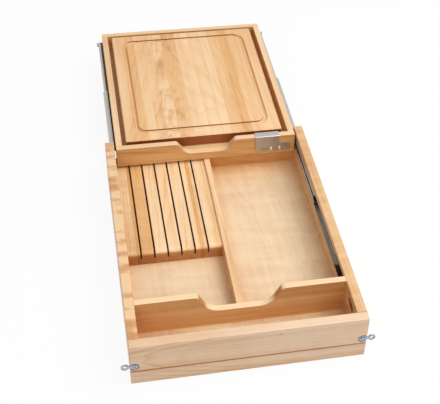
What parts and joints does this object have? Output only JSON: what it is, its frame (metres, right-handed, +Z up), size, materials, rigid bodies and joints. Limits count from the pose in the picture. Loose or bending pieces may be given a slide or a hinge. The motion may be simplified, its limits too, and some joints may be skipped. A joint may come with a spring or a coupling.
{
  "type": "knife and cutting board drawer",
  "caption": "Maple kitchen drawer with a slotted knife block, dividers and a cutting board in a second tray that slides above it.",
  "frame": {"origin": "on the underside of the drawer, below the middle of the whole with the upper tray fully back", "axes": "+Z up, +X to the right, and the drawer's front faces -Y"},
  "size_m": [0.3964, 0.8422, 0.0895],
  "materials": {
    "maple": "clear satin lacquer over solid maple",
    "birch_plywood": "clear satin lacquer over birch veneer",
    "laminated_block": "clear satin lacquer over glued strips of maple",
    "edge_glued_board": "oiled maple staves",
    "slide_steel": "zinc plated sheet steel",
    "cage_steel": "plain sheet steel",
    "ball_steel": "polished",
    "black_plastic": "moulded",
    "keeper_steel": "zinc plated sheet steel",
    "zinc": "blue zinc plate",
    "screw_steel": "blue zinc plate"
  },
  "bodies": {
    "drawer": {"drawer_front": "maple", "drawer_left_side": "maple", "drawer_right_side": "maple", "drawer_back": "maple", "drawer_floor": "birch_plywood", "scoop_divider": "maple", "centre_partition": "maple", "knife_block": "laminated_block", "left_outer_member": "slide_steel", "right_outer_member": "slide_steel", "left_slide_stop": "black_plastic", "right_slide_stop": "black_plastic", "clip_screws": "screw_steel"},
    "upper_tray": {"tray_front": "maple", "tray_back": "maple", "tray_left_side": "maple", "tray_right_side": "maple", "tray_floor": "birch_plywood", "left_inner_member": "slide_steel", "right_inner_member": "slide_steel", "keeper_screws": "screw_steel"},
    "left_middle": {"left_middle_member": "slide_steel", "left_middle_plug": "black_plastic"},
    "right_middle": {"right_middle_member": "slide_steel", "right_middle_plug": "black_plastic"},
    "left_outer_bearing": {"left_outer_cage": "cage_steel"},
    "right_outer_bearing": {"right_outer_cage": "cage_steel"},
    "left_inner_bearing": {"left_inner_cage": "cage_steel"},
    "right_inner_bearing": {"right_inner_cage": "cage_steel"},
    "board": {"cutting_board": "edge_glued_board"},
    "keeper": {"keeper_plate": "keeper_steel"},
    "left_clip": {"left_front_clip": "zinc"},
    "right_clip": {"right_front_clip": "zinc"}
  },
  "joints": [
    {"name": "tray_slide", "type": "slide", "parent": "drawer", "child": "upper_tray", "axis": [0, -1, 0], "range_m": [0, 0.358]},
    {"name": "left_middle_slide", "type": "slide", "parent": "drawer", "child": "left_middle", "axis": [0, -1, 0], "range_m": [0, 0.179]},
    {"name": "left_outer_bearing_slide", "type": "slide", "parent": "drawer", "child": "left_outer_bearing", "axis": [0, -1, 0], "range_m": [0, 0.0895]},
    {"name": "left_inner_bearing_slide", "type": "slide", "parent": "drawer", "child": "left_inner_bearing", "axis": [0, -1, 0], "range_m": [0, 0.2685]},
    {"name": "right_middle_slide", "type": "slide", "parent": "drawer", "child": "right_middle", "axis": [0, -1, 0], "range_m": [0, 0.179]},
    {"name": "right_outer_bearing_slide", "type": "slide", "parent": "drawer", "child": "right_outer_bearing", "axis": [0, -1, 0], "range_m": [0, 0.0895]},
    {"name": "right_inner_bearing_slide", "type": "slide", "parent": "drawer", "child": "right_inner_bearing", "axis": [0, -1, 0], "range_m": [0, 0.2685]},
    {"name": "board_lift", "type": "slide", "parent": "upper_tray", "child": "board", "axis": [0, 0, 1], "range_m": [0, 0.05]},
    {"name": "keeper_slide", "type": "slide", "parent": "upper_tray", "child": "keeper", "axis": [1, 0, 0], "range_m": [-0.0035, 0.009]},
    {"name": "left_clip_swivel", "type": "hinge", "parent": "drawer", "child": "left_clip", "pos_m": [-0.1778, -0.41825, 0.04], "axis": [0, 1, 0], "range_deg": [-15, 15]},
    {"name": "right_clip_swivel", "type": "hinge", "parent": "drawer", "child": "right_clip", "pos_m": [0.1778, -0.41825, 0.04], "axis": [0, 1, 0], "range_deg": [-15, 15]}
  ],
  "couplings": [
    {"joint": "left_middle_slide", "follows": "tray_slide", "ratio": 0.5},
    {"joint": "left_outer_bearing_slide", "follows": "tray_slide", "ratio": 0.25},
    {"joint": "left_inner_bearing_slide", "follows": "tray_slide", "ratio": 0.75},
    {"joint": "right_middle_slide", "follows": "tray_slide", "ratio": 0.5},
    {"joint": "right_outer_bearing_slide", "follows": "tray_slide", "ratio": 0.25},
    {"joint": "right_inner_bearing_slide", "follows": "tray_slide", "ratio": 0.75}
  ]
}
